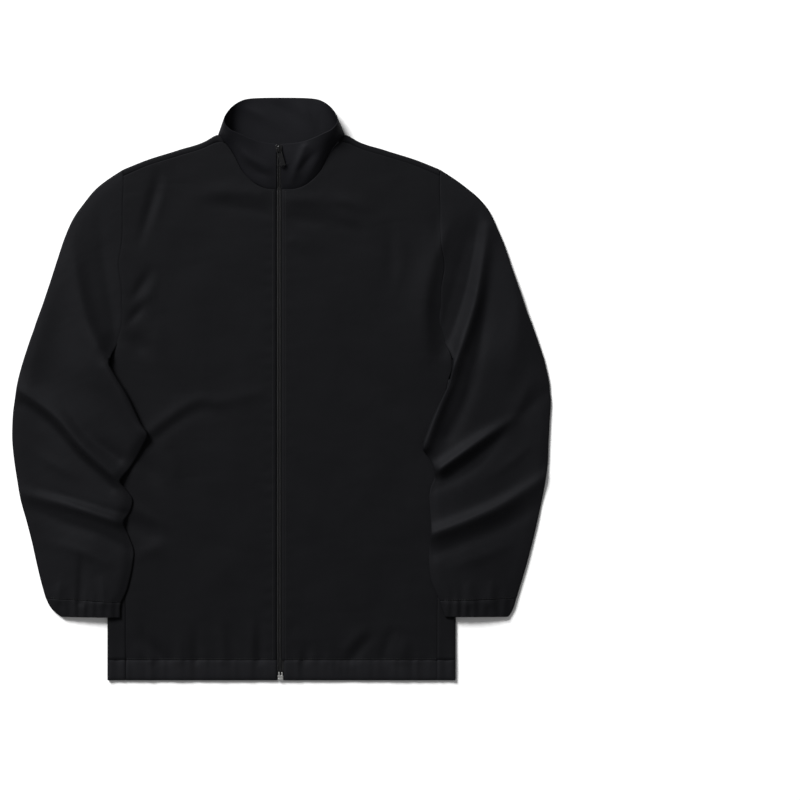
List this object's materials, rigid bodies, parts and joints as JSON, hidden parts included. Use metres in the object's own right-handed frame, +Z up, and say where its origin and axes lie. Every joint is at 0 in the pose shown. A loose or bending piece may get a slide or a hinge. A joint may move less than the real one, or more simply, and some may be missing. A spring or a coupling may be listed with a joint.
{
  "type": "windbreaker",
  "caption": "Long-sleeved zip-front windbreaker with a stand collar and elastic cuffs and hem, laid flat with its front up.",
  "frame": {"origin": "under the middle of the garment's box, on the surface it lies on", "axes": "+Y from the hem to the collar, +X to the right as seen from above, +Z up from the surface"},
  "size_m": [0.69, 0.745, 0.0229],
  "materials": {
    "shell_cloth": "matt plain-woven polyester",
    "casing": "the same cloth, gathered by elastic",
    "zip_tape": "woven tape with reversed coil",
    "zip_slider": "black gloss enamel",
    "zip_end": "bright"
  },
  "bodies": {
    "garment": {"back": "shell_cloth", "front_left": "shell_cloth", "front_right": "shell_cloth", "sleeve_left": "shell_cloth", "sleeve_right": "shell_cloth", "collar": "shell_cloth", "cuff_left": "casing", "cuff_right": "casing", "hem_back": "casing", "hem_front_left": "casing", "hem_front_right": "casing", "zip_tape_left": "zip_tape", "zip_tape_right": "zip_tape", "zip_slider": "zip_slider", "zip_box": "zip_end", "zip_pin": "zip_end"},
    "tab": {"zip_pull": "zip_slider"}
  },
  "joints": [
    {"name": "tab_hinge", "type": "hinge", "parent": "garment", "child": "tab", "pos_m": [-0.003, 0.30623, 0.01806], "axis": [-0.9703, -0.2419, -0.0051], "range_deg": [0, 165]}
  ]
}
